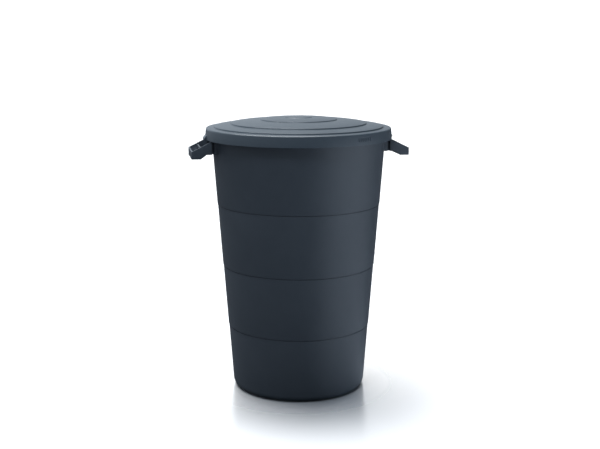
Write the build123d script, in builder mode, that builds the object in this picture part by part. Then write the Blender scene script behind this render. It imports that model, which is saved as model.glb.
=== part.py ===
"""Round plastic drum: a tapered open-head tub, a push-on lid and two side handles.

Frame: +Z up, origin on the floor at the centre of the base, handles on +X and -X. Millimetres.
"""
from build123d import *
import math
import os

# ---- driving dimensions -------------------------------------------------------------------
# Tub wall: a cone in four sections, each standing one step proud of the section below.
BASE_RADIUS = 189.3
WALL_SLOPE = 0.0721          # radius gained per millimetre of height
SECTION_STEP = 1.0
FIRST_STEP_HEIGHT = 184.5
STEP_SPACING = 176.0
STEP_COUNT = 3
TUB_WALL = 3.0

# Foot and floor of the tub.
FOOT_FILLET = 20.0
FOOT_RING_INNER = 160.0
FOOT_RECESS = 5.0
FOOT_RECESS_RUN = 4.0        # how far the recess's edge slopes inwards
FLOOR_THICKNESS = 4.0
FLOOR_CORNER = 12.0

# Turned-over rim: a flange at the top of the wall and a lip hanging from its edge.
RIM_TOP = 747.1
RIM_THICKNESS = 3.0
RIM_RADIUS = 256.0
LIP_WALL = 2.6
LIP_BOTTOM = 724.0
RIM_CORNER = 2.0

# Handle bracket on the tub: a flat plate with a side rib at each end.
BRACKET_HALF_WIDTH = 61.4
BRACKET_BOTTOM = 683.4
BRACKET_FACE = 244.0
BRACKET_WALL = 3.0
BRACKET_ROOT = 225.0         # ribs start inside the wall, and the cavity trims them

# Handle: two cheeks, a channel-shaped grip, and two tongues that enter the bracket.
HANDLE_WALL = 3.5
CHEEK_WALL = 4.2
HANDLE_ROOT = 251.5
GRIP_OUTER = 306.8
GRIP_INNER = 278.7
GRIP_BOTTOM = 671.5
GRIP_TOP = 691.9             # top of the outer wall, where the cheek's slope ends
GRIP_INNER_WALL_TOP = 701.0
CHEEK_TOP = 718.9            # level stretch at the root, just under the lid's skirt
CHEEK_LEVEL_END = 252.5
CHEEK_BEND = 265.6           # where the underside turns from level to sloping
CHEEK_UNDERSIDE_END = 281.7  # where the underside becomes level again
GRIP_CORNER = 2.5
TONGUE_CENTRE = 49.25        # distance of each tongue's middle plane from the handle's middle
TONGUE_TOP = 716.0
HOOK_OUTER = 57.4
HOOK_INNER_RADIUS = 238.8
HOOK_OUTER_RADIUS = 240.8
HOOK_BOTTOM = 684.4
HOOK_TOP = 704.0
SLOT_CLEARANCE = 0.2

# Lid: a skirt round the rim, a level band, and convex terraces that rise to the centre in rings.
LID_WALL = 2.8
SKIRT_BOTTOM_RADIUS = 263.0
SKIRT_BOTTOM = 719.8
SKIRT_TOP_RADIUS = 260.6
BAND_TOP = 750.4
LID_CORNER = 4.5
RING_RUN = 1.2               # width of each ring's steep riser
RINGS = (                    # foot radius, foot height, top height of each riser
    (239.0, 751.2, 754.8),
    (192.0, 760.0, 763.2),
    (109.2, 771.1, 773.3),
    (38.6, 777.2, 778.4),
)
TERRACE_BULGE = 0.018        # rise of a terrace's middle, as a share of its width
LID_CENTRE_HEIGHT = 779.4
LID_UNDERSIDE_SHIFT = 1.8    # risers' undersides lie this much nearer the axis
LOCATING_RING_RADIUS = 239.5
LOCATING_RING_WALL = 2.5
LOCATING_RING_BOTTOM = 732.0

# Lift tab on the lid's skirt above each handle.
TAB_RADIUS = 269.5
TAB_EDGE_TOP = 724.0
TAB_ROOT_TOP = 733.7
TAB_ROOT_RADIUS = 261.2
TAB_ANGLE = 9.0

SIDES = {"right": 1, "left": -1}
ENDS = (-1, 1)               # the two ends of a handle or a bracket, along Y
OVERLAP = 1.0                # how far a joined block or a cut runs past the face it starts from


def outer_radius(height, steps):
    """Radius of the tub's outside at a height, above a number of steps."""
    return BASE_RADIUS + WALL_SLOPE * height + SECTION_STEP * steps


def wall_points(bottom, top, inset, step_lift):
    """Corners of one side of the stepped wall, from bottom to top."""
    points = [(outer_radius(bottom, 0) - inset, bottom)]
    for count in range(STEP_COUNT):
        height = FIRST_STEP_HEIGHT + count * STEP_SPACING + step_lift
        points.append((outer_radius(height, count) - inset, height))
        points.append((outer_radius(height, count + 1) - inset, height))
    points.append((outer_radius(top, STEP_COUNT) - inset, top))
    return points


def plan_plane(side, height):
    """A level plane whose x axis points out along a handle."""
    return Plane(origin=(0, 0, height), x_dir=(side, 0, 0), z_dir=(0, 0, 1))


def side_plane(side):
    """An upright plane through the axis: x points out along a handle, y points up."""
    return Plane(origin=(0, 0, 0), x_dir=(side, 0, 0), z_dir=(0, -side, 0))


def block(plane, low, high, top, mode=Mode.ADD):
    """A rectangular block between two plan corners, from a level plane up to a height."""
    with BuildSketch(plane) as base:
        with Locations(((low[0] + high[0]) / 2, (low[1] + high[1]) / 2)):
            Rectangle(high[0] - low[0], high[1] - low[1])
    extrude(base.sketch, amount=top - plane.origin.Z, mode=mode)


# ---- tub ----------------------------------------------------------------------------------
flange_bottom = RIM_TOP - RIM_THICKNESS
floor_top = FOOT_RECESS + FLOOR_THICKNESS

with BuildPart() as tub:
    # Solid body with its foot ring and turned-over rim.
    with BuildSketch(Plane.XZ) as body_section:
        with BuildLine():
            Polyline(
                (0, FOOT_RECESS),
                (FOOT_RING_INNER - FOOT_RECESS_RUN, FOOT_RECESS),
                (FOOT_RING_INNER, 0),
                *wall_points(0, flange_bottom, 0, 0),
                (RIM_RADIUS - LIP_WALL, flange_bottom),
                (RIM_RADIUS - LIP_WALL, LIP_BOTTOM),
                (RIM_RADIUS, LIP_BOTTOM),
                (RIM_RADIUS, RIM_TOP),
                (0, RIM_TOP),
                close=True,
            )
        make_face()
        foot_corner = body_section.vertices().sort_by_distance((BASE_RADIUS, 0))[0]
        fillet(foot_corner, FOOT_FILLET)
        rim_corner = body_section.vertices().sort_by_distance((RIM_RADIUS, RIM_TOP))[0]
        fillet(rim_corner, RIM_CORNER)
    revolve(axis=Axis.Z)

    # Handle brackets: a flat plate and two ribs on each side.
    for side in SIDES.values():
        bracket_plane = plan_plane(side, BRACKET_BOTTOM)
        plate_low = (BRACKET_FACE - BRACKET_WALL, -BRACKET_HALF_WIDTH)
        plate_high = (BRACKET_FACE, BRACKET_HALF_WIDTH)
        block(bracket_plane, plate_low, plate_high, flange_bottom + OVERLAP)
        for end in ENDS:
            rib_middle = end * (BRACKET_HALF_WIDTH - BRACKET_WALL / 2)
            rib_low = (BRACKET_ROOT, rib_middle - BRACKET_WALL / 2)
            rib_high = (BRACKET_FACE, rib_middle + BRACKET_WALL / 2)
            block(bracket_plane, rib_low, rib_high, flange_bottom + OVERLAP)

    # The cavity leaves an even wall, and trims what the ribs left inside it.
    with BuildSketch(Plane.XZ) as cavity_section:
        with BuildLine():
            Polyline(
                (0, floor_top),
                *wall_points(floor_top, RIM_TOP + OVERLAP, TUB_WALL, TUB_WALL),
                (0, RIM_TOP + OVERLAP),
                close=True,
            )
        make_face()
        floor_radius = outer_radius(floor_top, 0) - TUB_WALL
        floor_corner = cavity_section.vertices().sort_by_distance((floor_radius, floor_top))[0]
        fillet(floor_corner, FLOOR_CORNER)
    revolve(axis=Axis.Z, mode=Mode.SUBTRACT)

    # Slots in the bracket plates, open at the bottom, for the handles' tongues.
    for side in SIDES.values():
        slot_plane = plan_plane(side, BRACKET_BOTTOM - OVERLAP)
        slot_half = HANDLE_WALL / 2 + SLOT_CLEARANCE
        for end in ENDS:
            slot_low = (BRACKET_FACE - BRACKET_WALL, end * TONGUE_CENTRE - slot_half)
            slot_high = (BRACKET_FACE + OVERLAP, end * TONGUE_CENTRE + slot_half)
            block(slot_plane, slot_low, slot_high, TONGUE_TOP + SLOT_CLEARANCE, Mode.SUBTRACT)

tub.part.label = "tub"

# ---- lid ----------------------------------------------------------------------------------
riser_points = []
for foot_radius, foot_height, top_height in RINGS:
    riser_points.append(((foot_radius, foot_height), (foot_radius - RING_RUN, top_height)))


def terrace(start, end):
    """A parabola between two profile points whose middle stands a little above their chord."""
    rise = TERRACE_BULGE * math.dist(start, end)
    control = ((start[0] + end[0]) / 2, (start[1] + end[1]) / 2 + 2 * rise)
    Bezier(start, control, end)


def lid_top(shift, drop):
    """The lid's stepped top from its band to the axis, moved inwards and down."""
    risers = []
    for foot, top in riser_points:
        risers.append(((foot[0] - shift, foot[1] - drop), (top[0] - shift, top[1] - drop)))
    for foot, top in risers:
        Line(foot, top)
    for outer, inner in zip(risers, risers[1:]):
        terrace(outer[1], inner[0])
    rim_of_centre = risers[-1][1]
    summit = (0, LID_CENTRE_HEIGHT - drop)
    Bezier(rim_of_centre, (rim_of_centre[0] / 2, summit[1]), summit)
    return risers[0][0]


with BuildPart() as lid:
    with BuildSketch(Plane.XZ) as lid_section:
        with BuildLine():
            outer_foot = lid_top(0, 0)
            inner_foot = lid_top(LID_UNDERSIDE_SHIFT, LID_WALL)
            Polyline(
                outer_foot,
                (SKIRT_TOP_RADIUS, BAND_TOP),
                (SKIRT_BOTTOM_RADIUS, SKIRT_BOTTOM),
                (SKIRT_BOTTOM_RADIUS - LID_WALL, SKIRT_BOTTOM),
                (SKIRT_TOP_RADIUS - LID_WALL, BAND_TOP - LID_WALL),
                inner_foot,
            )
            Line((0, LID_CENTRE_HEIGHT - LID_WALL), (0, LID_CENTRE_HEIGHT))
        make_face()
        lid_corner = lid_section.vertices().sort_by_distance((SKIRT_TOP_RADIUS, BAND_TOP))[0]
        fillet(lid_corner, LID_CORNER)
    revolve(axis=Axis.Z)

    # Locating ring that drops inside the tub's mouth.
    with BuildSketch(Plane.XY.offset(LOCATING_RING_BOTTOM)):
        Circle(LOCATING_RING_RADIUS)
        Circle(LOCATING_RING_RADIUS - LOCATING_RING_WALL, mode=Mode.SUBTRACT)
    extrude(amount=RINGS[0][1] - LID_WALL / 2 - LOCATING_RING_BOTTOM)

    # Lift tabs: a short wedge of a turn, centred over each handle.
    for side in SIDES.values():
        start = math.radians(-TAB_ANGLE / 2) + (0 if side > 0 else math.pi)
        outward = (math.cos(start), math.sin(start), 0)
        across = (math.sin(start), -math.cos(start), 0)
        with BuildSketch(Plane(origin=(0, 0, 0), x_dir=outward, z_dir=across)):
            with BuildLine():
                Polyline(
                    (TAB_ROOT_RADIUS, SKIRT_BOTTOM),
                    (TAB_RADIUS, SKIRT_BOTTOM),
                    (TAB_RADIUS, TAB_EDGE_TOP),
                    (TAB_ROOT_RADIUS, TAB_ROOT_TOP),
                    close=True,
                )
            make_face()
        revolve(axis=Axis.Z, revolution_arc=TAB_ANGLE)

lid.part.label = "lid"


# ---- handles ------------------------------------------------------------------------------
def handle_walls(side):
    """Every upright wall of a handle, as one ring in plan with its two inturned ends."""
    half = BRACKET_HALF_WIDTH
    plane = plan_plane(side, GRIP_BOTTOM)
    with BuildSketch(plane) as plan:
        with Locations(((HANDLE_ROOT + GRIP_OUTER) / 2, 0)):
            Rectangle(GRIP_OUTER - HANDLE_ROOT, 2 * half)
        outer_corners = plan.vertices().group_by(Axis.X)[-1]
        fillet(outer_corners, GRIP_CORNER)
        channel_low = GRIP_INNER + HANDLE_WALL
        channel_high = GRIP_OUTER - HANDLE_WALL
        with Locations(((channel_low + channel_high) / 2, 0)):
            Rectangle(channel_high - channel_low, 2 * (half - CHEEK_WALL), mode=Mode.SUBTRACT)
        opening_low = HANDLE_ROOT + HANDLE_WALL
        with Locations(((opening_low + GRIP_INNER) / 2, 0)):
            Rectangle(GRIP_INNER - opening_low, 2 * (half - CHEEK_WALL), mode=Mode.SUBTRACT)
        mouth_half = TONGUE_CENTRE - HANDLE_WALL / 2
        with Locations((HANDLE_ROOT + HANDLE_WALL / 2, 0)):
            Rectangle(HANDLE_WALL, 2 * mouth_half, mode=Mode.SUBTRACT)
    extrude(plan.sketch, amount=CHEEK_TOP - GRIP_BOTTOM)


def handle_outline(side):
    """Cuts the walls to the handle's outline as seen along its length."""
    with BuildSketch(side_plane(side)) as outline:
        with BuildLine():
            Polyline(
                (HANDLE_ROOT, BRACKET_BOTTOM),
                (CHEEK_BEND, BRACKET_BOTTOM),
                (CHEEK_UNDERSIDE_END, GRIP_BOTTOM),
                (GRIP_OUTER, GRIP_BOTTOM),
                (GRIP_OUTER, GRIP_TOP),
                (CHEEK_LEVEL_END, CHEEK_TOP),
                (HANDLE_ROOT, CHEEK_TOP),
                close=True,
            )
        make_face()
    extrude(outline.sketch, amount=BRACKET_HALF_WIDTH, both=True, mode=Mode.INTERSECT)


def handle_floor_and_top(side):
    """Closes the bottom of the grip's channel and lowers its inner wall."""
    inside_half = BRACKET_HALF_WIDTH - CHEEK_WALL
    floor_plane = plan_plane(side, GRIP_BOTTOM)
    floor_low = (CHEEK_UNDERSIDE_END, -inside_half - OVERLAP)
    floor_high = (GRIP_OUTER - OVERLAP, inside_half + OVERLAP)
    block(floor_plane, floor_low, floor_high, GRIP_BOTTOM + HANDLE_WALL)
    cut_low = (GRIP_INNER, -inside_half)
    cut_high = (GRIP_INNER + HANDLE_WALL, inside_half)
    cut_plane = plan_plane(side, GRIP_INNER_WALL_TOP)
    block(cut_plane, cut_low, cut_high, CHEEK_TOP, Mode.SUBTRACT)


def handle_tongues(side):
    """Two tongues that pass through the bracket's slots, each with a hook behind the plate."""
    plate_back = BRACKET_FACE - BRACKET_WALL
    for end in ENDS:
        inner_edge = end * (TONGUE_CENTRE - HANDLE_WALL / 2)
        outer_edge = end * (TONGUE_CENTRE + HANDLE_WALL / 2)
        tongue_edges = sorted((inner_edge, outer_edge))
        hook_edges = sorted((inner_edge, end * HOOK_OUTER))
        tongue_low = (plate_back, tongue_edges[0])
        tongue_high = (HANDLE_ROOT + HANDLE_WALL, tongue_edges[1])
        block(plan_plane(side, BRACKET_BOTTOM), tongue_low, tongue_high, TONGUE_TOP)
        neck_low = (HOOK_INNER_RADIUS, tongue_edges[0])
        neck_high = (plate_back, tongue_edges[1])
        block(plan_plane(side, HOOK_BOTTOM), neck_low, neck_high, HOOK_TOP)
        hook_low = (HOOK_INNER_RADIUS, hook_edges[0])
        hook_high = (HOOK_OUTER_RADIUS, hook_edges[1])
        block(plan_plane(side, HOOK_BOTTOM), hook_low, hook_high, HOOK_TOP)


with BuildPart() as handle_right:
    handle_walls(SIDES["right"])
    handle_outline(SIDES["right"])
    handle_floor_and_top(SIDES["right"])
    handle_tongues(SIDES["right"])
handle_right.part.label = "handle_right"

with BuildPart() as handle_left:
    handle_walls(SIDES["left"])
    handle_outline(SIDES["left"])
    handle_floor_and_top(SIDES["left"])
    handle_tongues(SIDES["left"])
handle_left.part.label = "handle_left"

# ---- files --------------------------------------------------------------------------------
os.makedirs("parts", exist_ok=True)
export_step(tub.part, "parts/tub.step")
export_step(lid.part, "parts/lid.step")
export_step(handle_right.part, "parts/handle_right.step")
export_step(handle_left.part, "parts/handle_left.step")

for piece in (tub, lid, handle_right, handle_left):
    box = piece.part.bounding_box()
    volume = piece.part.volume / 1000
    print(piece.part.label, "solids", len(piece.part.solids()), "cm3", round(volume, 1))
    print("   low", tuple(round(v, 2) for v in box.min))
    print("   high", tuple(round(v, 2) for v in box.max))
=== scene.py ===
# %% [markdown]
# # A round plastic drum with a push-on lid
# The drum is four plastic mouldings: a tapered tub, a lid and two handles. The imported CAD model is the
# frame. It says where each piece is and how the lid moves, and every piece made here takes its place
# from it. Blender works in metres, so sizes that a moulder would give in millimetres are
# written as a number times MM.

# %% Load the frame
import math

import bmesh
import bpy
from mathutils import Matrix, Vector


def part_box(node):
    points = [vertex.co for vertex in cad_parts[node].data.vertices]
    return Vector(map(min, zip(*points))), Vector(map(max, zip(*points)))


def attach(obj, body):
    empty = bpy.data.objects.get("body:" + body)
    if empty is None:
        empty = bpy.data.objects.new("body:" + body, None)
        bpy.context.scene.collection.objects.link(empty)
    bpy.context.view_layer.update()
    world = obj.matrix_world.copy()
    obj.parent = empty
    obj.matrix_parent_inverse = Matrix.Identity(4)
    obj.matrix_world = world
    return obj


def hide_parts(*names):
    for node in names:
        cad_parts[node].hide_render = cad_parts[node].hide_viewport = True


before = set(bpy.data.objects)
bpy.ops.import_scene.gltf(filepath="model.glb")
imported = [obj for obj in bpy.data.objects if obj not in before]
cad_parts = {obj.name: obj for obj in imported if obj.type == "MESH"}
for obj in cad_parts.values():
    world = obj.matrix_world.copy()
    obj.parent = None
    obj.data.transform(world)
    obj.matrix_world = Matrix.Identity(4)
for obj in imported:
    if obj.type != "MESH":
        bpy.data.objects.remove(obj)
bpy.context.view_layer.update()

MM = 0.001

# %% [markdown]
# ## Two small helpers
# Paint makers and designers give colours as sRGB hex values, and Blender's shaders want linear numbers,
# so one function turns the first into the second. The other adds a node, sets it up and links it in one
# call, which keeps each material and each Geometry Nodes tree short enough to read in one go.

# %% Colour and node helpers
def linear(hex_colour):
    """sRGB hex, such as "#2c333b", as linear RGBA."""
    channels = [int(hex_colour[i:i + 2], 16) / 255 for i in (1, 3, 5)]
    return [c / 12.92 if c <= 0.04045 else ((c + 0.055) / 1.055) ** 2.4 for c in channels] + [1.0]


def add(tree, kind, settings=None, **inputs):
    """Adds a node. An input is a value, or another node's output socket to link from."""
    node = tree.nodes.new(kind)
    for name, value in (settings or {}).items():
        setattr(node, name, value)
    for name, value in inputs.items():
        key = int(name[1:]) if name[0] == "_" and name[1:].isdigit() else name.replace("_", " ")
        socket = node.inputs[key]
        if isinstance(value, bpy.types.NodeSocket):
            tree.links.new(value, socket)
        else:
            socket.default_value = value
    return node


# %% [markdown]
# ## The camera
# A drum like this is drawn from a little above, about three metres away, so that the lid reads as an
# ellipse and the wall's taper isn't exaggerated. The handles lie on the X axis, and the camera stands ten
# degrees to one side of square, which turns one handle's inside to view and the other's outside.

# %% Camera
CAMERA_DISTANCE = 2.856      # level distance from the drum's axis
CAMERA_HEIGHT = 1.0253
CAMERA_TURN = math.radians(10.28)
CAMERA_PITCH = math.radians(11.017)
CAMERA_SIDESTEP = 0.0043     # moves the view a hair to the right of the axis
SENSOR_WIDTH = 36.0
FOCAL_LENGTH = 60.73

camera_data = bpy.data.cameras.new("studio_camera")
camera_data.sensor_width = SENSOR_WIDTH
camera_data.lens = FOCAL_LENGTH
camera_data.clip_end = 60.0
camera = bpy.data.objects.new("studio_camera", camera_data)
bpy.context.scene.collection.objects.link(camera)
to_camera = Vector((-math.sin(CAMERA_TURN), -math.cos(CAMERA_TURN), 0.0))
to_right = Vector((math.cos(CAMERA_TURN), -math.sin(CAMERA_TURN), 0.0))
camera.location = (to_camera * CAMERA_DISTANCE + to_right * CAMERA_SIDESTEP
                   + Vector((0.0, 0.0, CAMERA_HEIGHT)))
camera.rotation_euler = (math.pi / 2 - CAMERA_PITCH, 0.0, -CAMERA_TURN)
bpy.context.scene.camera = camera
print("camera at", [round(v, 3) for v in camera.location])

# %% [markdown]
# ## The floor and the light
# The studio is a white sweep, and the drum stands on a sheet of white acrylic. The sheet mirrors the drum
# softly, most near its foot and less further out, so the drum sits in a dark pool that fades towards the
# camera. To every other ray the floor is darker, with painted light in a fan towards the right softbox,
# because the tub leans outwards and therefore mirrors the floor: the painted fan is its upright highlight.

# %% Floor
FLOOR_SIZE = 40.0
FLOOR_TO_CAMERA = "#f8f9fa"
FLOOR_UNLIT = "#4a4e54"
# The floor's colour inside the fan is painted light, not light from a lamp.
FLOOR_PAINTED_LIGHT = "#bac4d0"
FAN_EDGE = 0.6               # cosine of the angle from the fan's middle where the painted light begins
FAN_FULL = 0.97              # and where it is full
GLOSS_RADIUS = 0.36          # where the gloss has faded to half, measured from the drum's axis
GLOSS_FADE = 5.0             # how steeply it fades there
GLOSS_SHARE = 0.66
GLOSS_ROUGHNESS = 0.22
GLOSS_GAIN = (2.65, 2.5, 2.32, 1.0)  # brings the dim bluish room up to the white that the camera sees

floor_material = bpy.data.materials.new("white_studio_acrylic")
floor_material.use_nodes = True
tree = floor_material.node_tree
tree.nodes.clear()
path = add(tree, "ShaderNodeLightPath")
place = add(tree, "ShaderNodeTexCoord").outputs["Object"]
# Painted light: for every ray but the camera's, the floor is painted lighter in a fan towards the right
# softbox, and the tub mirrors it as its upright highlight.
fan_middle = (to_right * 3.1 + to_camera).normalized()
bearing = add(tree, "ShaderNodeVectorMath", {"operation": "NORMALIZE"}, _0=place)
fanward = add(tree, "ShaderNodeVectorMath", {"operation": "DOT_PRODUCT"}, _0=bearing.outputs[0],
              _1=fan_middle)
lit = add(tree, "ShaderNodeMapRange", Value=fanward.outputs["Value"], From_Min=FAN_EDGE, From_Max=FAN_FULL)
painted_fan_tone = add(tree, "ShaderNodeMix", {"data_type": "RGBA"}, _0=lit.outputs[0],
               _6=linear(FLOOR_UNLIT), _7=linear(FLOOR_PAINTED_LIGHT))
tone = add(tree, "ShaderNodeMix", {"data_type": "RGBA"}, _0=path.outputs["Is Camera Ray"],
           _6=painted_fan_tone.outputs[2], _7=linear(FLOOR_TO_CAMERA))
paint = add(tree, "ShaderNodeBsdfDiffuse", Color=tone.outputs[2])
reach = add(tree, "ShaderNodeVectorMath", {"operation": "LENGTH"}, _0=place)
ratio = add(tree, "ShaderNodeMath", {"operation": "DIVIDE"}, _0=reach.outputs["Value"], _1=GLOSS_RADIUS)
fade = add(tree, "ShaderNodeMath", {"operation": "POWER"}, _0=ratio.outputs[0], _1=GLOSS_FADE)
under = add(tree, "ShaderNodeMath", {"operation": "ADD"}, _0=fade.outputs[0], _1=1.0)
share = add(tree, "ShaderNodeMath", {"operation": "DIVIDE"}, _0=GLOSS_SHARE, _1=under.outputs[0])
gloss = add(tree, "ShaderNodeBsdfAnisotropic", Color=GLOSS_GAIN, Roughness=GLOSS_ROUGHNESS)
seen = add(tree, "ShaderNodeMath", {"operation": "MULTIPLY"}, _0=share.outputs[0],
           _1=path.outputs["Is Camera Ray"])
sheet = add(tree, "ShaderNodeMixShader", _0=seen.outputs[0], _1=paint.outputs[0], _2=gloss.outputs[0])
add(tree, "ShaderNodeOutputMaterial", Surface=sheet.outputs[0])

floor_mesh = bpy.data.meshes.new("studio_floor")
half = FLOOR_SIZE / 2
floor_mesh.from_pydata([(-half, -half, 0), (half, -half, 0), (half, half, 0), (-half, half, 0)],
                       [], [(0, 1, 2, 3)])
floor_mesh.materials.append(floor_material)
floor = bpy.data.objects.new("studio_floor", floor_mesh)
bpy.context.scene.collection.objects.link(floor)

# %% [markdown]
# A broad source overhead and a little behind lights the lid and throws the shadow forwards. A high softbox
# in front draws the soft shadow under the lid's skirt. A low one on the right lifts that side of the tub,
# and one on the left helps to light the skirt. The softboxes are a little cooler than the overhead light.

# %% Lights
SOFTBOX_TINT = "#d6e4f4"


def aim(thing, target):
    """Turns a light so that it shines at a point."""
    thing.rotation_euler = (Vector(target) - thing.location).to_track_quat("-Z", "Y").to_euler()


def softbox(name, place, target, width, height, power):
    """A rectangular studio light. place and target are right, toward the camera and up, in metres."""
    data = bpy.data.lights.new(name, "AREA")
    data.shape = "RECTANGLE"
    data.size = width
    data.size_y = height
    data.energy = power
    data.color = linear(SOFTBOX_TINT)[:3]
    light = bpy.data.objects.new(name, data)
    bpy.context.scene.collection.objects.link(light)
    light.location = to_right * place[0] + to_camera * place[1] + Vector((0, 0, place[2]))
    aim(light, to_right * target[0] + to_camera * target[1] + Vector((0, 0, target[2])))


softbox("right_softbox", (2.3, 1.0, 0.4), (0.0, 0.0, 0.35), 2.4, 0.7, 6.0)
softbox("left_softbox", (-2.5, 1.1, 2.3), (0.0, 0.0, 0.75), 1.6, 1.4, 8.0)
softbox("high_softbox", (-0.5, 1.7, 3.2), (0.0, 0.0, 0.5), 1.1, 0.9, 34.0)

OVERHEAD_POWER = 4.5
OVERHEAD_SPREAD = math.radians(50)   # how wide the source looks from the drum

overhead_data = bpy.data.lights.new("overhead_diffuser", "SUN")
overhead_data.energy = OVERHEAD_POWER
overhead_data.angle = OVERHEAD_SPREAD
overhead = bpy.data.objects.new("overhead_diffuser", overhead_data)
bpy.context.scene.collection.objects.link(overhead)
overhead.location = to_right * -0.6 - to_camera * 1.1 + Vector((0.0, 0.0, 3.6))
aim(overhead, (0.0, 0.0, 0.0))

# %% [markdown]
# The surroundings are white where the camera sees them. Elsewhere they are bright on the left, dim on the
# right and dimmer still overhead, because a satin plastic shows whatever stands in front of it. The lit
# part of the sweep behind the drum is what the lid's top mirrors.

# %% Surroundings
ROOM_COLOUR = "#dfe9f5"
LEFT_STRENGTH = 0.60
RIGHT_STRENGTH = 0.13
CEILING_SHARE = 0.4          # how bright the ceiling is beside the walls
SWEEP_GLOW = 0.48            # the lit part of the sweep, which lies a little to the left
SWEEP_STRENGTH = 1.05        # the sweep as the camera sees it, a shade over white

world = bpy.data.worlds.new("white_sweep")
bpy.context.scene.world = world
world.use_nodes = True
tree = world.node_tree
tree.nodes.clear()
path = add(tree, "ShaderNodeLightPath")
ray = add(tree, "ShaderNodeTexCoord").outputs["Generated"]
rightward = add(tree, "ShaderNodeVectorMath", {"operation": "DOT_PRODUCT"}, _0=ray, _1=to_right)
glow_side = -(to_camera + to_right * 0.25).normalized()
away = add(tree, "ShaderNodeVectorMath", {"operation": "DOT_PRODUCT"}, _0=ray, _1=glow_side)
dim = add(tree, "ShaderNodeMapRange", Value=rightward.outputs["Value"], From_Min=-0.9, From_Max=0.6,
          To_Min=LEFT_STRENGTH, To_Max=RIGHT_STRENGTH)
glow = add(tree, "ShaderNodeMapRange", Value=away.outputs["Value"], From_Min=0.80, From_Max=0.97,
           To_Min=0.0, To_Max=SWEEP_GLOW)
height = add(tree, "ShaderNodeSeparateXYZ", Vector=ray)
ceiling = add(tree, "ShaderNodeMapRange", Value=height.outputs["Z"], From_Min=0.1, From_Max=0.4,
              To_Min=1.0, To_Max=CEILING_SHARE)
walls = add(tree, "ShaderNodeMath", {"operation": "MULTIPLY"}, _0=dim.outputs[0], _1=ceiling.outputs[0])
power = add(tree, "ShaderNodeMath", {"operation": "ADD"}, _0=walls.outputs[0], _1=glow.outputs[0])
room = add(tree, "ShaderNodeBackground", Color=linear(ROOM_COLOUR), Strength=power.outputs[0])
sweep = add(tree, "ShaderNodeBackground", Color=linear("#ffffff"), Strength=SWEEP_STRENGTH)
seen = add(tree, "ShaderNodeMixShader", _0=path.outputs["Is Camera Ray"], _1=room.outputs[0],
           _2=sweep.outputs[0])
add(tree, "ShaderNodeOutputWorld", Surface=seen.outputs[0])
bpy.context.scene.view_settings.view_transform = "Standard"

# %% [markdown]
# ## Injection-moulded polypropylene
# The drum is polypropylene, coloured in the mass with an anthracite masterbatch. The mould is spark
# eroded, so the skin is a satin with a fine grain. Three things keep it from looking like a flat colour.
# The pigment isn't mixed quite evenly, the gloss drifts where the melt flowed and cooled, and a thin wall
# sinks between its stiff places, which bends a long highlight.

# %% Polypropylene
GRAIN_SIZE = 1.6 * MM        # the real grain is near 0.3 mm, too fine to show, so it is drawn coarser
CLOUD_SIZE = 70.0 * MM       # how far the pigment and the gloss drift before they change
SINK_SIZE = 140.0 * MM
DRAG_WIDTH = 9.0 * MM        # faint upright streaks where the wall slid out of the mould
DRAG_STRETCH = 0.02          # how slowly the streaks change up the wall, beside how fast they do across
DRAG_SHARE = 0.35
POLYPROPYLENE_IOR = 1.49


def polypropylene(name, dark, pale, low_gloss, high_gloss, grain_depth, sink_depth):
    """Satin moulded polypropylene. The two colours are the ends of the pigment's drift.

    The sink is drawn deeper than the few hundredths of a millimetre of a real wall, so that it shows.
    """
    material = bpy.data.materials.new(name)
    material.use_nodes = True
    tree = material.node_tree
    tree.nodes.clear()
    place = add(tree, "ShaderNodeTexCoord").outputs["Object"]
    cloud = add(tree, "ShaderNodeTexNoise", Vector=place, Scale=1 / CLOUD_SIZE, Detail=3.0, Roughness=0.55)
    colour = add(tree, "ShaderNodeMix", {"data_type": "RGBA"}, _0=cloud.outputs[0],
                 _6=linear(dark), _7=linear(pale))
    tall = add(tree, "ShaderNodeMapping", Vector=place, Scale=(1.0, 1.0, DRAG_STRETCH))
    drag = add(tree, "ShaderNodeTexNoise", Vector=tall.outputs[0], Scale=1 / DRAG_WIDTH, Detail=2.0)
    blend = add(tree, "ShaderNodeMath", {"operation": "MULTIPLY_ADD"}, _0=drag.outputs[0], _1=DRAG_SHARE,
                _2=cloud.outputs[0])
    gloss = add(tree, "ShaderNodeMapRange", Value=blend.outputs[0], From_Min=0.35, From_Max=1.0,
                To_Min=low_gloss, To_Max=high_gloss)
    sink = add(tree, "ShaderNodeTexNoise", Vector=place, Scale=1 / SINK_SIZE, Detail=1.0)
    wave = add(tree, "ShaderNodeBump", Height=sink.outputs[0], Distance=sink_depth, Strength=1.0)
    grain = add(tree, "ShaderNodeTexNoise", Vector=place, Scale=1 / GRAIN_SIZE, Detail=2.0)
    skin = add(tree, "ShaderNodeBump", Height=grain.outputs[0], Distance=grain_depth, Strength=1.0,
               Normal=wave.outputs[0])
    plastic = add(tree, "ShaderNodeBsdfPrincipled", Base_Color=colour.outputs[2],
                  Roughness=gloss.outputs[0], IOR=POLYPROPYLENE_IOR, Normal=skin.outputs[0])
    add(tree, "ShaderNodeOutputMaterial", Surface=plastic.outputs[0])
    return material


tub_plastic = polypropylene("moulded_polypropylene_tub", "#434a51", "#4a5158", 0.36, 0.46,
                            0.02 * MM, 0.35 * MM)
# The lid's colours are painted a shade lighter and bluer than the tub's: painted light, standing in for the
# brighter light that falls on the skirt.
lid_plastic = polypropylene("moulded_polypropylene_lid", "#465058", "#4d575f", 0.32, 0.42,
                            0.03 * MM, 0.25 * MM)
handle_plastic = polypropylene("moulded_polypropylene_handle", "#444b52", "#4b5259", 0.36, 0.46,
                               0.03 * MM, 0.1 * MM)
print("plastics made, grain drawn at", round(GRAIN_SIZE / MM, 2), "mm")

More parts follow.
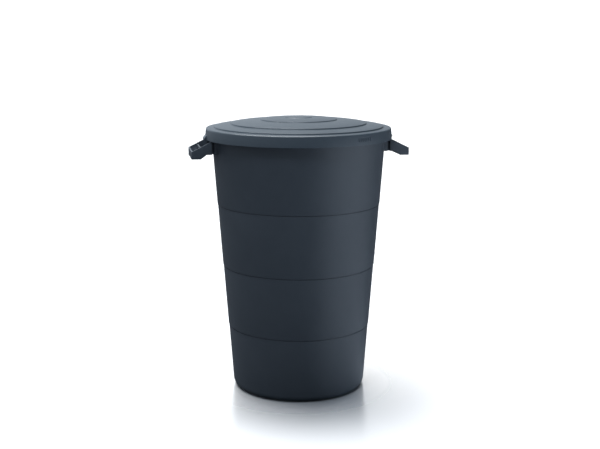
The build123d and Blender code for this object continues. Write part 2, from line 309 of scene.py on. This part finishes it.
# %% [markdown]
# ## Turned shapes
# The tub and the lid are solids of revolution: one outline, turned about the drum's axis. Blender could
# do it with the Screw modifier or by spinning vertices. A Geometry Nodes tree is used here, because the
# rule is then in one place for both pieces: a grid whose columns are turned to their angle round the axis,
# and whose rows take their place from the points of the outline.

# %% Rounded outlines
ARC_STEP = math.radians(12)


def rounded(corners):
    """Outline points from corners (radius from the axis, height, corner rounding), all in metres."""
    points = []
    for index, (across, up, rounding) in enumerate(corners):
        here = Vector((across, up))
        if rounding == 0 or index in (0, len(corners) - 1):
            points.append(here)
            continue
        back = (Vector(corners[index - 1][:2]) - here).normalized()
        ahead = (Vector(corners[index + 1][:2]) - here).normalized()
        half_angle = back.angle(ahead) / 2
        centre = here + (back + ahead).normalized() * (rounding / math.sin(half_angle))
        start = here + back * (rounding / math.tan(half_angle)) - centre
        end = here + ahead * (rounding / math.tan(half_angle)) - centre
        turn = start.angle_signed(end)
        steps = max(2, math.ceil(abs(turn) / ARC_STEP))
        for step in range(steps + 1):
            angle = -turn * step / steps
            points.append(centre + Matrix.Rotation(angle, 2) @ start)
    return points


def outline_object(name, points):
    """The outline as a chain of vertices in the XZ plane."""
    mesh = bpy.data.meshes.new(name)
    edges = [(i, i + 1) for i in range(len(points) - 1)]
    mesh.from_pydata([(p.x, 0.0, p.y) for p in points], edges, [])
    chain = bpy.data.objects.new(name, mesh)
    bpy.context.scene.collection.objects.link(chain)
    return chain


# %% The turning tree
def turning_tree():
    """Geometry Nodes: turns the outline that it is given about the Z axis, as one closed skin."""
    tree = bpy.data.node_groups.new("turn_outline", "GeometryNodeTree")
    for name, kind in (("Outline", "NodeSocketGeometry"), ("Columns", "NodeSocketInt"),
                       ("Rows", "NodeSocketInt"), ("Material", "NodeSocketMaterial")):
        tree.interface.new_socket(name, in_out="INPUT", socket_type=kind)
    tree.interface.new_socket("Turned", in_out="OUTPUT", socket_type="NodeSocketGeometry")
    given = add(tree, "NodeGroupInput").outputs
    edge = add(tree, "FunctionNodeIntegerMath", {"operation": "ADD"}, _0=given["Columns"], _1=1)
    grid = add(tree, "GeometryNodeMeshGrid", Vertices_X=edge.outputs[0], Vertices_Y=given["Rows"])
    index = add(tree, "GeometryNodeInputIndex").outputs[0]
    row = add(tree, "FunctionNodeIntegerMath", {"operation": "MODULO"}, _0=index, _1=given["Rows"])
    column = add(tree, "FunctionNodeIntegerMath", {"operation": "DIVIDE"}, _0=index, _1=given["Rows"])
    where = add(tree, "GeometryNodeInputPosition").outputs[0]
    point = add(tree, "GeometryNodeSampleIndex", {"data_type": "FLOAT_VECTOR"},
                Geometry=given["Outline"], Value=where, Index=row.outputs[0])
    share = add(tree, "ShaderNodeMath", {"operation": "DIVIDE"}, _0=column.outputs[0],
                _1=given["Columns"])
    angle = add(tree, "ShaderNodeMath", {"operation": "MULTIPLY"}, _0=share.outputs[0], _1=math.tau)
    turned = add(tree, "ShaderNodeVectorRotate", {"rotation_type": "Z_AXIS"},
                 Vector=point.outputs[0], Angle=angle.outputs[0])
    moved = add(tree, "GeometryNodeSetPosition", Geometry=grid.outputs[0], Position=turned.outputs[0])
    closed = add(tree, "GeometryNodeMergeByDistance", Geometry=moved.outputs[0], Distance=0.002 * MM)
    smooth = add(tree, "GeometryNodeSetShadeSmooth", Geometry=closed.outputs[0])
    real = add(tree, "GeometryNodeRealizeInstances", Geometry=smooth.outputs[0])
    painted = add(tree, "GeometryNodeSetMaterial", Geometry=real.outputs[0], Material=given["Material"])
    add(tree, "NodeGroupOutput", _0=painted.outputs[0])
    return tree


def run_tree(thing, tree, **values):
    """Runs a tree on an object, and leaves the object with the result as a plain mesh."""
    modifier = thing.modifiers.new(tree.name, "NODES")
    modifier.node_group = tree
    for socket in tree.interface.items_tree:
        key = socket.name.replace(" ", "_")
        if socket.in_out == "INPUT" and key in values:
            modifier[socket.identifier] = values[key]
    settle(thing)


def settle(thing):
    """Applies an object's modifiers: its evaluated mesh becomes its own."""
    bpy.context.view_layer.update()
    graph = bpy.context.evaluated_depsgraph_get()
    mesh = bpy.data.meshes.new_from_object(thing.evaluated_get(graph))
    thing.modifiers.clear()
    thing.data = mesh


def facts(thing):
    """Prints a piece's faces, its volume, and how many edges don't join just two faces."""
    solid = bmesh.new()
    solid.from_mesh(thing.data)
    open_edges = sum(1 for edge in solid.edges if not edge.is_manifold)
    volume = solid.calc_volume(signed=True)
    print(thing.name, "faces", len(solid.faces), "open edges", open_edges, "cm3", round(volume * 1e6, 1))
    solid.free()


turn_outline = turning_tree()
COLUMNS = 288
CREASE_ANGLE = math.radians(32)  # the tub and the lid are shaded smooth across anything gentler


def turned_piece(name, corners, material):
    """A solid of revolution from its outline's corners."""
    points = rounded(corners)
    piece = outline_object(name, points)
    run_tree(piece, turn_outline, Columns=COLUMNS, Rows=len(points), Material=material)
    facts(piece)
    return piece


# %% [markdown]
# ## The tub
# The tub is a tapered bucket. The taper lets it leave the mould and lets empty tubs nest. Three small
# steps, each a millimetre, stiffen the wall, and a fine groove under each one reads as a thin dark line.
# The rim turns over and hangs a short lip, so the mouth stays round. The inside repeats the steps, because
# the wall is one thickness. Under the base is the gate mark, where the plastic entered the mould.

# %% Tub outline
BASE_RADIUS = 189.3 * MM
WALL_SLOPE = 0.0721
SECTION_STEP = 1.0 * MM
STEP_HEIGHTS = [184.5 * MM, 360.5 * MM, 536.5 * MM]
TUB_WALL = 3.0 * MM
FOOT_ROUNDING = 20.0 * MM
FOOT_RING_INNER = 160.0 * MM  # the drum stands on a ring from here out
FOOT_RECESS = 5.0 * MM
FOOT_RECESS_RUN = 4.0 * MM
FLOOR_TOP = 9.0 * MM
FLOOR_CORNER = 12.0 * MM
LIP_WALL = 2.6 * MM
LIP_DROP = 23.1 * MM
RIM_THICKNESS = 3.0 * MM
RIM_ROUNDING = 2.5 * MM
SOFT_ROUNDING = 2.0 * MM     # at the foot ring, and where the wall meets the rim
FLANGE_ROUNDING = 1.0 * MM
LIP_EDGE_ROUNDING = 0.9 * MM
GROOVE_DEPTH = 1.6 * MM
GROOVE_HEIGHT = 2.2 * MM
GROOVE_ROUNDING = 0.2 * MM
INNER_STEP_ROUNDING = 0.4 * MM

tub_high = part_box("tub")[1]
RIM_TOP = tub_high.z
RIM_RADIUS = tub_high.x


def wall_radius(height, steps):
    """Radius of the tub's outside at a height, above a number of steps."""
    return BASE_RADIUS + WALL_SLOPE * height + SECTION_STEP * steps


def outside_wall():
    """Corners up the outside, with a fine groove below each step."""
    corners = []
    for count, height in enumerate(STEP_HEIGHTS):
        ledge = height - GROOVE_HEIGHT
        back = wall_radius(height, count) - GROOVE_DEPTH
        corners.append((wall_radius(ledge, count), ledge, GROOVE_ROUNDING))
        corners.append((back, ledge, GROOVE_ROUNDING))
        corners.append((back, height, GROOVE_ROUNDING))
        corners.append((wall_radius(height, count + 1), height, GROOVE_ROUNDING))
    return corners


def inside_wall():
    """Corners down the inside, each step a wall's thickness above the one outside."""
    corners = []
    for count, height in reversed(list(enumerate(STEP_HEIGHTS))):
        inside = height + TUB_WALL
        below = inside - INNER_STEP_ROUNDING
        corners.append((wall_radius(inside, count + 1) - TUB_WALL, inside, INNER_STEP_ROUNDING))
        corners.append((wall_radius(inside, count) - TUB_WALL, below, INNER_STEP_ROUNDING))
    return corners


def gate_mark():
    """Corners from the axis out: the stub of the sprue, in its own small dish under the base."""
    stub = FOOT_RECESS + 0.4 * MM
    dish = FOOT_RECESS + 1.2 * MM
    return [
        (0.0, stub, 0),
        (1.6 * MM, stub, 0.2 * MM),
        (1.8 * MM, dish, 0.2 * MM),
        (7.0 * MM, dish, 0.6 * MM),
        (8.2 * MM, FOOT_RECESS, 0.6 * MM),
    ]


flange_under = RIM_TOP - RIM_THICKNESS
lip_bottom = RIM_TOP - LIP_DROP
lip_inside = RIM_RADIUS - LIP_WALL
tub_corners = [
    *gate_mark(),
    (FOOT_RING_INNER - FOOT_RECESS_RUN, FOOT_RECESS, SOFT_ROUNDING),
    (FOOT_RING_INNER, 0.0, SOFT_ROUNDING),
    (BASE_RADIUS, 0.0, FOOT_ROUNDING),
    *outside_wall(),
    (wall_radius(flange_under, 3), flange_under, SOFT_ROUNDING),
    (lip_inside, flange_under, FLANGE_ROUNDING),
    (lip_inside, lip_bottom, LIP_EDGE_ROUNDING),
    (RIM_RADIUS, lip_bottom, LIP_EDGE_ROUNDING),
    (RIM_RADIUS, RIM_TOP, RIM_ROUNDING),
    (wall_radius(RIM_TOP, 3) - TUB_WALL, RIM_TOP, RIM_ROUNDING),
    *inside_wall(),
    (wall_radius(FLOOR_TOP, 0) - TUB_WALL, FLOOR_TOP, FLOOR_CORNER),
    (0.0, FLOOR_TOP, 0),
]
tub = turned_piece("tub_shell", tub_corners, tub_plastic)


# %% [markdown]
# ## The handle brackets
# Each handle hangs on a flat bracket moulded on the tub just under the rim: a plate with a rib at each
# end, open below. Two slots in the plate take the handle's tongues. On the real tub this is one moulding,
# so the bracket's blocks are joined to the shell with Boolean unions, and the slots are cut from it.
# The ribs' roots run right through the wall, and leave small stubs inside the mouth.

# %% Brackets
BRACKET_FACE = 244.0 * MM
BRACKET_WALL = 3.0 * MM
BRACKET_BOTTOM = 683.4 * MM
BRACKET_ROUNDING = 0.8 * MM
BRACKET_OVERLAP = 1.0 * MM   # how far the blocks run past the faces that they join or cut
RIB_REACH = 13.0 * MM        # how far back the ribs start from the bracket's face
SLOT_REACH = 6.0 * MM        # and the slots, which go right through the plate
TONGUE_SLOT_MIDDLE = 49.25 * MM
TONGUE_SLOT_WIDTH = 3.9 * MM
TONGUE_SLOT_TOP = 716.2 * MM
HALF_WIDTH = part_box("handle_right")[1].y


def block(name, low, high, material, rounding=0.0):
    """A closed block between two corners, with its edges rounded when a rounding is given."""
    xs, ys, zs = zip(low, high)
    corners = [(x, y, z) for x in xs for y in ys for z in zs]
    mesh = bpy.data.meshes.new(name)
    mesh.from_pydata(corners, [], [(0, 1, 3, 2), (4, 6, 7, 5), (0, 4, 5, 1), (2, 3, 7, 6),
                                   (0, 2, 6, 4), (1, 5, 7, 3)])
    mesh.materials.append(material)
    thing = bpy.data.objects.new(name, mesh)
    bpy.context.scene.collection.objects.link(thing)
    if rounding:
        bevel = thing.modifiers.new("edge_rounding", "BEVEL")
        bevel.width = rounding
        bevel.segments = 3
        settle(thing)
    return thing


def combine(target, tool, operation):
    """Joins a tool to a piece or cuts it away, and removes the tool."""
    boolean = target.modifiers.new("boolean", "BOOLEAN")
    boolean.operation = operation
    boolean.solver = "EXACT"
    boolean.object = tool
    settle(target)
    bpy.data.objects.remove(tool)


def bracket(side):
    """One bracket: a plate and two ribs, with two slots through the plate."""
    plate_low, plate_high = sorted((side * (BRACKET_FACE - BRACKET_WALL), side * BRACKET_FACE))
    top = flange_under + BRACKET_OVERLAP
    body = block("bracket", (plate_low, -HALF_WIDTH, BRACKET_BOTTOM), (plate_high, HALF_WIDTH, top),
                 tub_plastic, BRACKET_ROUNDING)
    for end in (-1, 1):
        rib_low, rib_high = sorted((end * HALF_WIDTH, end * (HALF_WIDTH - BRACKET_WALL)))
        root = (BRACKET_FACE - RIB_REACH) * side
        across = sorted((root, side * BRACKET_FACE))
        rib = block("rib", (across[0], rib_low, BRACKET_BOTTOM), (across[1], rib_high, top),
                    tub_plastic, BRACKET_ROUNDING)
        combine(body, rib, "UNION")
        across = sorted((side * (BRACKET_FACE - SLOT_REACH), side * (BRACKET_FACE + BRACKET_OVERLAP)))
        slot_low = end * TONGUE_SLOT_MIDDLE - TONGUE_SLOT_WIDTH / 2
        slot_high = end * TONGUE_SLOT_MIDDLE + TONGUE_SLOT_WIDTH / 2
        slot = block("slot", (across[0], slot_low, BRACKET_BOTTOM - BRACKET_OVERLAP),
                     (across[1], slot_high, TONGUE_SLOT_TOP), tub_plastic)
        combine(body, slot, "DIFFERENCE")
    return body


for side in (1, -1):
    combine(tub, bracket(side), "UNION")
facts(tub)
tub.data.set_sharp_from_angle(angle=CREASE_ANGLE)

# %% [markdown]
# ## The lid
# The lid is pushed on over the rim. Its skirt hangs outside the tub's lip and a level band runs round the
# edge. The top climbs to the middle in shallow domed terraces with a small riser between each pair, which
# stiffens a wide thin disc and sheds rain. A ring underneath drops inside the tub's mouth and keeps the
# lid from sliding.

# %% Lid outline
LID_WALL = 2.8 * MM
SKIRT_BOTTOM_RADIUS = 263.0 * MM
SKIRT_TOP_RADIUS = 260.6 * MM
BAND_TOP = 750.4 * MM
RISER_RUN = 1.2 * MM
UNDERSIDE_SHIFT = 1.8 * MM
RISERS = [                   # foot radius, foot height, top height
    (239.0 * MM, 751.2 * MM, 754.8 * MM),
    (192.0 * MM, 760.0 * MM, 763.2 * MM),
    (109.2 * MM, 771.1 * MM, 773.3 * MM),
    (38.6 * MM, 777.2 * MM, 778.4 * MM),
]
TERRACE_BULGE = 0.018        # rise of a terrace's middle, as a share of its width
TERRACE_POINTS = 7
LID_CORNER = 4.5 * MM
LID_INNER_CORNER = 1.5 * MM
LID_EDGE_ROUNDING = 0.8 * MM
RISER_TOP_ROUNDING = 0.6 * MM
RISER_FOOT_ROUNDING = 0.3 * MM
LOCATING_RADIUS = 239.5 * MM
LOCATING_WALL = 2.5 * MM
LOCATING_BOTTOM = 732.0 * MM
LOCATING_SLOPE = 3.0 * MM    # a slope of this width joins the ring to the lid's underside

lid_low, lid_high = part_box("lid")
skirt_bottom = lid_low.z
centre_top = lid_high.z


def parabola(start, control, end):
    """Points between a start and an end, on the curve that leaves and meets them toward the control."""
    points = []
    for step in range(1, TERRACE_POINTS + 1):
        t = step / (TERRACE_POINTS + 1)
        place = (1 - t) ** 2 * start + 2 * t * (1 - t) * control + t ** 2 * end
        points.append((place.x, place.y, 0))
    return points


def stepped_top(shift, drop):
    """Corners from the axis out to the foot of the last riser, moved inwards and down."""
    start = Vector((0.0, centre_top - drop))
    corners = [(start.x, start.y, 0)]
    for foot, low, high in reversed(RISERS):
        end = Vector((foot - RISER_RUN - shift, high - drop))
        middle = (start + end) / 2
        control = middle + Vector((0.0, 2 * TERRACE_BULGE * (end - start).length))
        if start.x == 0:
            control = Vector((middle.x, start.y))
        corners += parabola(start, control, end)
        corners.append((end.x, end.y, RISER_TOP_ROUNDING))
        start = Vector((foot - shift, low - drop))
        corners.append((start.x, start.y, RISER_FOOT_ROUNDING))
    return corners


under = BAND_TOP - LID_WALL
lid_corners = stepped_top(0.0, 0.0)
lid_corners += [
    (SKIRT_TOP_RADIUS, BAND_TOP, LID_CORNER),
    (SKIRT_BOTTOM_RADIUS, skirt_bottom, LID_EDGE_ROUNDING),
    (SKIRT_BOTTOM_RADIUS - LID_WALL, skirt_bottom, LID_EDGE_ROUNDING),
    (SKIRT_TOP_RADIUS - LID_WALL, under, LID_INNER_CORNER),
    (LOCATING_RADIUS + LOCATING_SLOPE, under, LID_EDGE_ROUNDING),
    (LOCATING_RADIUS, under - LOCATING_SLOPE, LID_EDGE_ROUNDING),
    (LOCATING_RADIUS, LOCATING_BOTTOM, LID_EDGE_ROUNDING),
    (LOCATING_RADIUS - LOCATING_WALL, LOCATING_BOTTOM, LID_EDGE_ROUNDING),
    (LOCATING_RADIUS - LOCATING_WALL, RISERS[0][2] - LID_WALL, LID_EDGE_ROUNDING),
]
lid_corners += reversed(stepped_top(UNDERSIDE_SHIFT, LID_WALL)[:-2])
lid_corners.reverse()
lid = turned_piece("lid_shell", lid_corners, lid_plastic)

# %% [markdown]
# ## The lift tabs
# Over each handle a short wedge stands out from the skirt, so that a thumb can push the lid up while the
# fingers hold the handle. It is a short turn of a four-cornered outline, joined to the lid.

# %% Lift tabs
TAB_RADIUS = lid_high.x
TAB_EDGE_TOP = 724.0 * MM
TAB_ROOT_TOP = 733.7 * MM
TAB_ROOT_RADIUS = 261.2 * MM
TAB_ANGLE = math.radians(9.0)
TAB_SLICES = 12
TAB_ROUNDING = 1.2 * MM
EDGE_ANGLE = math.radians(25)  # edges that turn more than this are rounded


def lift_tab(middle):
    """A wedge that follows the skirt's curve, centred on an angle round the axis."""
    section = [(TAB_ROOT_RADIUS, skirt_bottom), (TAB_RADIUS, skirt_bottom),
               (TAB_RADIUS, TAB_EDGE_TOP), (TAB_ROOT_RADIUS, TAB_ROOT_TOP)]
    points = []
    for slice_number in range(TAB_SLICES + 1):
        angle = middle + TAB_ANGLE * (slice_number / TAB_SLICES - 0.5)
        points += [(r * math.cos(angle), r * math.sin(angle), z) for r, z in section]
    count = len(section)
    faces = [tuple(range(count)), tuple(reversed(range(len(points) - count, len(points))))]
    for start in range(0, len(points) - count, count):
        for corner in range(count):
            after = (corner + 1) % count
            faces.append((start + after, start + corner, start + count + corner, start + count + after))
    mesh = bpy.data.meshes.new("lift_tab")
    mesh.from_pydata(points, [], faces)
    mesh.materials.append(lid_plastic)
    tab = bpy.data.objects.new("lift_tab", mesh)
    bpy.context.scene.collection.objects.link(tab)
    bevel = tab.modifiers.new("edge_rounding", "BEVEL")
    bevel.width = TAB_ROUNDING
    bevel.segments = 3
    bevel.limit_method = "ANGLE"
    bevel.angle_limit = EDGE_ANGLE
    settle(tab)
    return tab


for middle in (0.0, math.pi):
    combine(lid, lift_tab(middle), "UNION")
facts(lid)
lid.data.set_sharp_from_angle(angle=CREASE_ANGLE)

# %% [markdown]
# ## The grip ribs
# Further round the skirt a few short upright ribs give the fingers a second grip. The grip is a rule: a
# number of equal ribs, evenly spaced along an arc. So it is a Geometry Nodes tree with its numbers as
# named inputs: a row of points turned to their angle round the axis, with one stretched ball on each
# point, sunk halfway into the skirt. The balls are closed, and they lean with the skirt.

# %% Grip ribs
RIB_COUNT = 7
RIB_SPACING = 7.0 * MM
RIB_WIDTH = 3.2 * MM
RIB_HEIGHT = 12.0 * MM
RIB_DEPTH = 3.4 * MM         # half of it stands out from the skirt
RIB_BEARING = math.radians(-58.0)    # from the right handle, round the axis
RIB_MIDDLE = 735.0 * MM
skirt_lean = math.atan2(SKIRT_BOTTOM_RADIUS - SKIRT_TOP_RADIUS, BAND_TOP - skirt_bottom)
rib_share = (RIB_MIDDLE - skirt_bottom) / (BAND_TOP - skirt_bottom)
rib_radius = SKIRT_BOTTOM_RADIUS + (SKIRT_TOP_RADIUS - SKIRT_BOTTOM_RADIUS) * rib_share


def rib_tree():
    """Geometry Nodes: stretched balls in an even row round the Z axis, leaning inwards by an angle.

    It takes nothing from its object's own geometry, which is a single point.
    """
    tree = bpy.data.node_groups.new("ribs_round_skirt", "GeometryNodeTree")
    for name, kind in (("Geometry", "NodeSocketGeometry"), ("Count", "NodeSocketInt"),
                       ("Spacing Angle", "NodeSocketFloat"), ("Bearing", "NodeSocketFloat"),
                       ("Radius", "NodeSocketFloat"), ("Middle", "NodeSocketFloat"),
                       ("Lean", "NodeSocketFloat"), ("Size", "NodeSocketVector"),
                       ("Material", "NodeSocketMaterial")):
        tree.interface.new_socket(name, in_out="INPUT", socket_type=kind)
    tree.interface.new_socket("Ribs", in_out="OUTPUT", socket_type="NodeSocketGeometry")
    given = add(tree, "NodeGroupInput").outputs
    row = add(tree, "GeometryNodeMeshLine", Count=given["Count"])
    index = add(tree, "GeometryNodeInputIndex").outputs[0]
    last = add(tree, "ShaderNodeMath", {"operation": "SUBTRACT"}, _0=given["Count"], _1=1.0)
    centre = add(tree, "ShaderNodeMath", {"operation": "MULTIPLY"}, _0=last.outputs[0], _1=0.5)
    offset = add(tree, "ShaderNodeMath", {"operation": "SUBTRACT"}, _0=index, _1=centre.outputs[0])
    angle = add(tree, "ShaderNodeMath", {"operation": "MULTIPLY_ADD"}, _0=offset.outputs[0],
                _1=given["Spacing Angle"], _2=given["Bearing"])
    out = add(tree, "ShaderNodeCombineXYZ", X=given["Radius"], Z=given["Middle"])
    spot = add(tree, "ShaderNodeVectorRotate", {"rotation_type": "Z_AXIS"}, Vector=out.outputs[0],
               Angle=angle.outputs[0])
    placed = add(tree, "GeometryNodeSetPosition", Geometry=row.outputs[0], Position=spot.outputs[0])
    back = add(tree, "ShaderNodeMath", {"operation": "MULTIPLY"}, _0=given["Lean"], _1=-1.0)
    facing = add(tree, "ShaderNodeCombineXYZ", Y=back.outputs[0], Z=angle.outputs[0])
    ball = add(tree, "GeometryNodeMeshUVSphere", Segments=20, Rings=14, Radius=0.5)
    ribs = add(tree, "GeometryNodeInstanceOnPoints", Points=placed.outputs[0], Instance=ball.outputs[0],
               Rotation=facing.outputs[0], Scale=given["Size"])
    real = add(tree, "GeometryNodeRealizeInstances", Geometry=ribs.outputs[0])
    smooth = add(tree, "GeometryNodeSetShadeSmooth", Geometry=real.outputs[0])
    painted = add(tree, "GeometryNodeSetMaterial", Geometry=smooth.outputs[0], Material=given["Material"])
    add(tree, "NodeGroupOutput", _0=painted.outputs[0])
    return tree


ribs = outline_object("grip_ribs", [Vector((0.0, 0.0))])
run_tree(ribs, rib_tree(), Count=RIB_COUNT, Spacing_Angle=RIB_SPACING / rib_radius, Bearing=RIB_BEARING,
         Radius=rib_radius, Middle=RIB_MIDDLE, Lean=skirt_lean, Size=(RIB_DEPTH, RIB_WIDTH, RIB_HEIGHT),
         Material=lid_plastic)
facts(ribs)

# %% [markdown]
# ## The handles
# A handle is two cheeks with a channel-shaped grip between them, and its thin walls meet at right angles.
# The CAD shape is right as it stands and only its edges are too sharp to be moulded, so a copy of it is
# cleaned to flat faces and every edge is rounded with a bevel. The outer edge along the top gets a
# larger rounding, because a hand closes over it, and it reads as a bright line where it faces the light.

# %% Handles
HANDLE_ROUNDING = 0.8 * MM
TOP_ROUNDING = 3.2 * MM
HANDLE_CREASE_ANGLE = math.radians(40)
FLAT_ANGLE = math.radians(0.5)       # triangles that turn less than this make one flat face
GRIP_MIDDLE = 270.0 * MM     # inside the finger opening, which every side faces or turns its back on


def is_top_outer_edge(edge, middle):
    """True for an edge between the handle's upper face and a side that faces away from its middle."""
    if len(edge.link_faces) != 2:
        return False
    upper, side = sorted(edge.link_faces, key=lambda face: -face.normal.z)
    outward = (edge.verts[0].co + edge.verts[1].co) / 2 - middle
    outward.z = 0.0
    return upper.normal.z > 0.8 and abs(side.normal.z) < 0.2 and side.normal.dot(outward.normalized()) > 0.3


def rounded_copy(node, name, material):
    """A copy of a handle's CAD node: its triangles merged to flat faces and its edges rounded."""
    copy = bmesh.new()
    copy.from_mesh(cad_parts[node].data)
    bmesh.ops.remove_doubles(copy, verts=copy.verts, dist=0.005 * MM)
    bmesh.ops.dissolve_limit(copy, angle_limit=FLAT_ANGLE, verts=copy.verts, edges=copy.edges)
    low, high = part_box(node)
    middle = (Vector(low) + Vector(high)) / 2
    middle.x = math.copysign(GRIP_MIDDLE, middle.x)
    weight = copy.edges.layers.float.new("bevel_weight_edge")
    for edge in copy.edges:
        if len(edge.link_faces) == 2 and edge.calc_face_angle() > EDGE_ANGLE:
            edge[weight] = 1.0 if is_top_outer_edge(edge, middle) else HANDLE_ROUNDING / TOP_ROUNDING
    mesh = bpy.data.meshes.new(name)
    copy.to_mesh(mesh)
    copy.free()
    mesh.materials.clear()
    mesh.materials.append(material)
    for face in mesh.polygons:
        face.material_index = 0
    thing = bpy.data.objects.new(name, mesh)
    bpy.context.scene.collection.objects.link(thing)
    bevel = thing.modifiers.new("edge_rounding", "BEVEL")
    bevel.width = TOP_ROUNDING
    bevel.segments = 4
    bevel.limit_method = "WEIGHT"
    settle(thing)
    thing.data.shade_smooth()
    thing.data.set_sharp_from_angle(angle=HANDLE_CREASE_ANGLE)
    return thing


handles = {}
for side in ("left", "right"):
    node = "handle_" + side
    handles[node] = rounded_copy(node, node + "_moulding", handle_plastic)
    facts(handles[node])

# %% [markdown]
# ## Hand the pieces to the frame
# Each piece now stands for its CAD node and moves with that node's body: the handles with the drum, and
# the lid with the cover, which lifts straight up.

# %% Ride and replace
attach(tub, "drum")
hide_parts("tub")
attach(lid, "cover")
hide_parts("lid")
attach(ribs, "cover")
for node, handle in handles.items():
    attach(handle, "drum")
    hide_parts(node)
